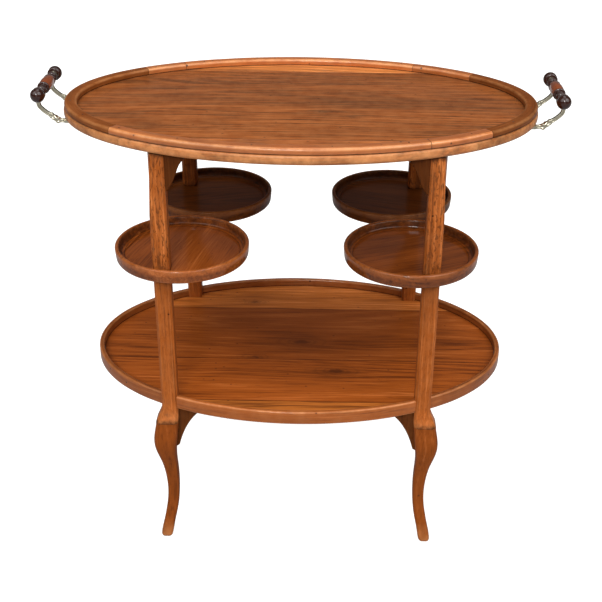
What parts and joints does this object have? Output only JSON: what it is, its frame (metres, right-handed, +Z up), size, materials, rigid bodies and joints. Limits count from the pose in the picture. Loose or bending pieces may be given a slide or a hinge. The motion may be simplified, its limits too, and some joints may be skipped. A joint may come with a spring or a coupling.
{
  "type": "oval serving table",
  "caption": "Oval walnut serving table with a rimmed top, brass end handles, a rimmed lower shelf, round dished trays that swing on the posts, and curved cabriole feet.",
  "frame": {"origin": "floor level under the middle of the table", "axes": "+X along the length to the right handle, +Y to the back, +Z up"},
  "size_m": [0.853, 0.484, 0.7752],
  "materials": {
    "walnut": "satin polish",
    "dark_turned_wood": "gloss polish",
    "red_turned_wood": "gloss polish",
    "brass": "worn pale cast brass",
    "steel": "plain"
  },
  "bodies": {
    "frame": {"bracket_screws": "steel", "cabriole_foot_back_left": "walnut", "cabriole_foot_back_right": "walnut", "cabriole_foot_front_left": "walnut", "cabriole_foot_front_right": "walnut", "foot_dowels": "walnut", "grip_barrel_left": "red_turned_wood", "grip_barrel_right": "red_turned_wood", "grip_finial_left_back": "dark_turned_wood", "grip_finial_left_front": "dark_turned_wood", "grip_finial_right_back": "dark_turned_wood", "grip_finial_right_front": "dark_turned_wood", "handle_arm_left_back": "brass", "handle_arm_left_front": "brass", "handle_arm_right_back": "brass", "handle_arm_right_front": "brass", "handle_rod_left": "brass", "handle_rod_right": "brass", "handle_screws": "steel", "lower_bracket_back_left": "walnut", "lower_bracket_back_right": "walnut", "lower_bracket_front_left": "walnut", "lower_bracket_front_right": "walnut", "lower_post_back_left": "walnut", "lower_post_back_right": "walnut", "lower_post_front_left": "walnut", "lower_post_front_right": "walnut", "pivot_pins": "steel", "rim_nails": "steel", "shelf_plank_back": "walnut", "shelf_plank_front": "walnut", "shelf_plank_middle_back": "walnut", "shelf_plank_middle_front": "walnut", "shelf_rim_back": "walnut", "shelf_rim_front": "walnut", "shelf_rim_left": "walnut", "shelf_rim_right": "walnut", "top_plank_back": "walnut", "top_plank_front": "walnut", "top_plank_middle": "walnut", "top_rim_back": "walnut", "top_rim_back_left": "walnut", "top_rim_back_right": "walnut", "top_rim_front": "walnut", "top_rim_front_right": "walnut", "top_rim_left_end": "walnut", "top_rim_right_end": "walnut", "upper_bracket_back_left": "walnut", "upper_bracket_back_right": "walnut", "upper_bracket_front_left": "walnut", "upper_bracket_front_right": "walnut", "upper_post_back_left": "walnut", "upper_post_back_right": "walnut", "upper_post_front_left": "walnut", "upper_post_front_right": "walnut"},
    "tray_front_left": {"swing_tray_front_left": "walnut"},
    "tray_front_right": {"swing_tray_front_right": "walnut"},
    "tray_back_left": {"swing_tray_back_left": "walnut"},
    "tray_back_right": {"swing_tray_back_right": "walnut"}
  },
  "joints": [
    {"name": "swing_front_left", "type": "hinge", "parent": "frame", "child": "tray_front_left", "pos_m": [-0.212, -0.19047, 0.5245], "axis": [0, 0, 1], "continuous": true},
    {"name": "swing_front_right", "type": "hinge", "parent": "frame", "child": "tray_front_right", "pos_m": [0.212, -0.19047, 0.5245], "axis": [0, 0, 1], "continuous": true},
    {"name": "swing_back_left", "type": "hinge", "parent": "frame", "child": "tray_back_left", "pos_m": [-0.212, 0.19047, 0.5145], "axis": [0, 0, 1], "continuous": true},
    {"name": "swing_back_right", "type": "hinge", "parent": "frame", "child": "tray_back_right", "pos_m": [0.212, 0.19047, 0.5145], "axis": [0, 0, 1], "continuous": true}
  ]
}
